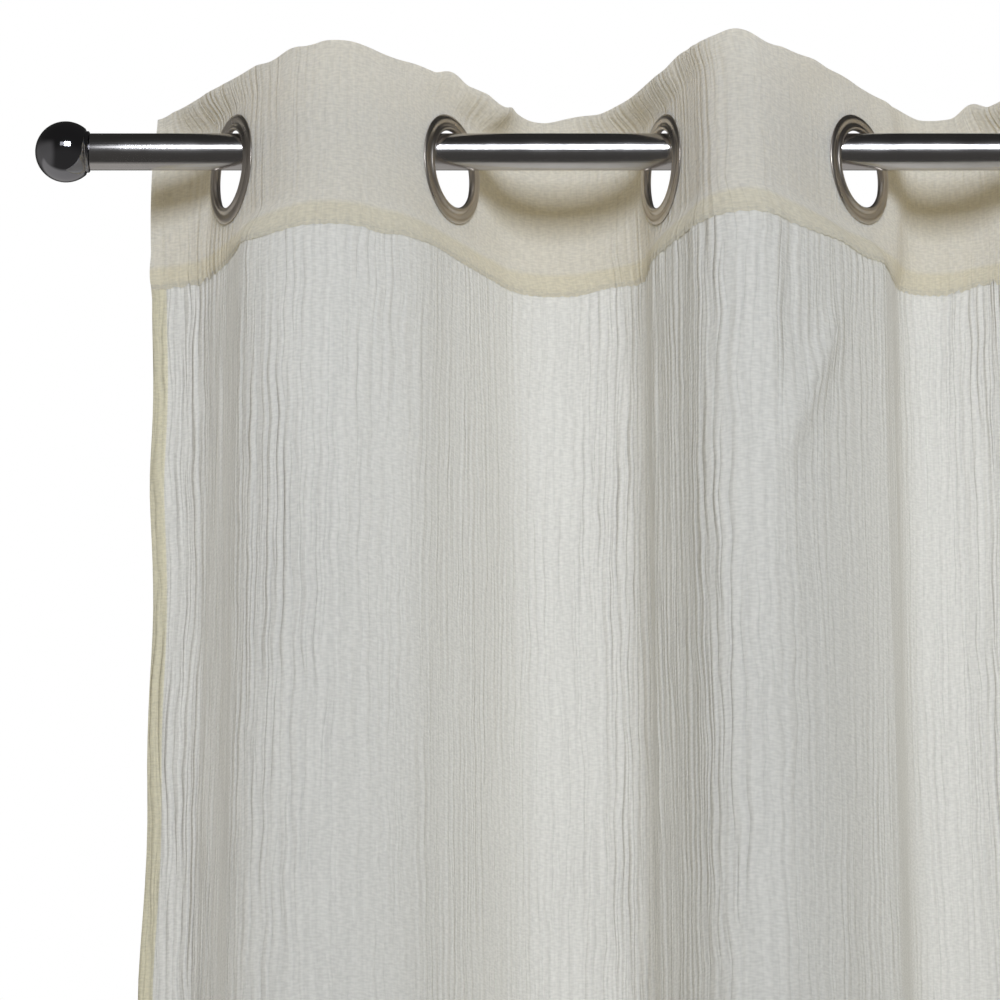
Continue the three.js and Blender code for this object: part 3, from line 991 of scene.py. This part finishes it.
panel_cloth = panel_material()
heading_cloth = heading_material()
thread = thread_material("sewing_thread", rgb(226, 221, 200))
nickel = metal_material("satin_nickel", rgb(200, 192, 183), 0.3, (60, 60, 60), 0.000002, 0.01)
brushed = metal_material("brushed_steel", rgb(196, 193, 193), 0.19, (2200, 12, 2200), 0.00003, 0.06)
chrome = metal_material("dark_chrome", rgb(150, 150, 156), 0.05, (300, 300, 300), 0.000004, 0.02)


def finish_piece(piece, material):
    piece.data.materials.clear()
    piece.data.materials.append(material)
    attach(piece, "root")


finish_piece(panel, panel_cloth)
finish_piece(heading, heading_cloth)
finish_piece(stitches, thread)
for ring in rings:
    finish_piece(ring, nickel)
finish_piece(rod, brushed)
for finial in finials:
    finish_piece(finial, chrome)

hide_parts("panel")
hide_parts("heading")

# stage, camera and light


KEY_POWER = 29.5
WING_POWER = 0.8
LIGHT_SPREAD = 150
FRONT_FILL = 0.06
BACK_GLOW = 1.46
FLOOR_HALF = 40
FLOOR_GAP = 0.012
FLOOR_SHINE = 0.3
CAMERA_PLACE = (-0.249, -2.0, -0.702)
CAMERA_TILT = 14.25
SENSOR_WIDTH = 36
# the focal length in widths of the picture
FOCAL_WIDTHS = 3.907


def make_floor():
    """A pale floor just below the hem. It looks pale but throws no more light on the cloth."""
    z = HEM_Z * MM - FLOOR_GAP
    corners = [(-1, -1), (1, -1), (1, 1), (-1, 1)]
    mesh = bpy.data.meshes.new("floor")
    mesh.from_pydata([(x * FLOOR_HALF, y * FLOOR_HALF, z) for x, y in corners], [], [(0, 1, 2, 3)])
    floor = bpy.data.objects.new("floor", mesh)
    bpy.context.scene.collection.objects.link(floor)
    s = Shader("pale_floor")
    clouds = s.noise(s.node("TexCoord").outputs["Object"], (0.8, 0.8, 0.8), 3.0)
    face = s.node("BsdfPrincipled", Roughness=0.8)
    s.feed(face.inputs["Base Color"], s.blend(clouds, rgb(226, 226, 224), rgb(218, 218, 216)))
    seen_only = s.times(s.node("LightPath").outputs["Is Camera Ray"], FLOOR_SHINE)
    both = s.node("AddShader")
    s.tree.links.new(face.outputs[0], both.inputs[0])
    s.tree.links.new(s.node("Emission", Strength=seen_only).outputs[0], both.inputs[1])
    s.material.cycles.emission_sampling = "NONE"
    mesh.materials.append(s.finish(both))
    floor.visible_glossy = False


def make_camera():
    """The photograph's view, from below and left of the middle."""
    data = bpy.data.cameras.new("camera")
    data.sensor_width = SENSOR_WIDTH
    data.lens = FOCAL_WIDTHS * SENSOR_WIDTH
    data.clip_end = 200
    camera = bpy.data.objects.new("camera", data)
    camera.location = CAMERA_PLACE
    camera.rotation_euler = (math.radians(90 + CAMERA_TILT), 0, 0)
    bpy.context.scene.collection.objects.link(camera)
    bpy.context.scene.camera = camera


def make_light(name, location, target, size, power, colour):
    """A soft rectangular light, turned to a target."""
    data = bpy.data.lights.new(name, "AREA")
    data.spread = math.radians(LIGHT_SPREAD)
    data.shape = "RECTANGLE"
    data.size = size[0]
    data.size_y = size[1]
    data.energy = power
    data.color = colour
    light = bpy.data.objects.new(name, data)
    light.location = location
    way = np.array(target, float) - np.array(location, float)
    yaw = math.atan2(-way[0], way[1])
    pitch = math.atan2(way[2], math.hypot(way[0], way[1]))
    light.rotation_euler = (math.pi / 2 + pitch, 0, yaw)
    bpy.context.scene.collection.objects.link(light)


class WorldNodes:
    """Short calls for the nodes of the world."""

    def __init__(self, name):
        world = bpy.data.worlds.new(name)
        bpy.context.scene.world = world
        world.use_nodes = True
        self.tree = world.node_tree
        self.tree.nodes.clear()
        self.output = self.node("OutputWorld")
        self.rays = self.node("LightPath")
        self.way = self.node("SeparateXYZ")
        self.tree.links.new(self.node("TexCoord").outputs["Generated"], self.way.inputs[0])

    def node(self, kind):
        return self.tree.nodes.new("ShaderNode" + kind)

    def remap(self, value, low, high, to_low, to_high):
        made = self.node("MapRange")
        set_range(made, low, high, to_low, to_high)
        self.tree.links.new(value, made.inputs["Value"])
        return made.outputs["Result"]

    def ramp(self, axis, *limits):
        """A ramp over one direction: X to the right, Y to the back, Z up."""
        return self.remap(self.way.outputs[axis], *limits)

    def combine(self, operation, a, b):
        made = self.node("Math")
        made.operation = operation
        self.tree.links.new(a, made.inputs[0])
        self.tree.links.new(b, made.inputs[1])
        return made.outputs[0]

    def sideways(self):
        made = self.node("Math")
        made.operation = "ABSOLUTE"
        self.tree.links.new(self.way.outputs["X"], made.inputs[0])
        return made.outputs[0]

    def background(self, colour, strength=None):
        made = self.node("Background")
        made.inputs["Color"].default_value = (*colour, 1)
        if strength is not None:
            self.tree.links.new(strength, made.inputs["Strength"])
        return made.outputs[0]

    def choose(self, ray, a, b):
        made = self.node("MixShader")
        self.tree.links.new(self.rays.outputs[ray], made.inputs[0])
        self.tree.links.new(a, made.inputs[1])
        self.tree.links.new(b, made.inputs[2])
        return made.outputs[0]


def from_left(w, strength):
    """A pale side wall at the left, up to about eye height."""
    return w.combine("MULTIPLY", w.ramp("X", -0.85, -0.5, strength, 0.0), w.ramp("Z", 0.2, 0.6, 1.0, 0.0))


def seen_in_metal(w):
    """A dark room in front, pale low and behind and at the left."""
    dim = w.ramp("Z", -0.4, 0.3, 0.075, 0.035)
    behind = w.combine("MULTIPLY", w.ramp("Y", -0.1, 0.2, 0.0, 0.42), w.ramp("Z", -0.35, -0.05, 1.0, 0.0))
    pale = w.combine("MAXIMUM", behind, from_left(w, 0.17))
    return w.background((1, 0.975, 0.93), w.combine("ADD", dim, pale))


def light_on_cloth(w):
    """A bright wall behind, brighter to the sides, and little from the front."""
    glow = w.ramp("Y", -0.3, 0.5, FRONT_FILL, BACK_GLOW)
    glow = w.combine("MULTIPLY", glow, w.ramp("Z", 0.2, 0.8, 1.0, 0.6))
    glow = w.combine("MULTIPLY", glow, w.remap(w.sideways(), 0.3, 0.8, 0.6, 1.25))
    return w.background((1, 0.995, 0.985), w.combine("ADD", glow, from_left(w, 0.27)))


def make_world():
    """White behind the curtain, with its own light for cloth and its own picture for metal."""
    w = WorldNodes("studio")
    lit = w.choose("Is Glossy Ray", light_on_cloth(w), seen_in_metal(w))
    shown = w.choose("Is Camera Ray", lit, w.background((1, 1, 1)))
    w.tree.links.new(shown, w.output.inputs["Surface"])


make_floor()
make_camera()
make_world()
make_light("key", (-0.05, -2.2, 0.49), (-0.1, 0, 0), (0.88, 0.66), KEY_POWER, (0.9, 0.945, 1.0))
make_light("key_wing", (-0.8, -2.2, 0.49), (-0.3, 0, 0), (0.55, 0.55), WING_POWER, (0.95, 0.97, 1.0))
bpy.context.scene.view_settings.view_transform = "Standard"

bpy.context.view_layer.update()
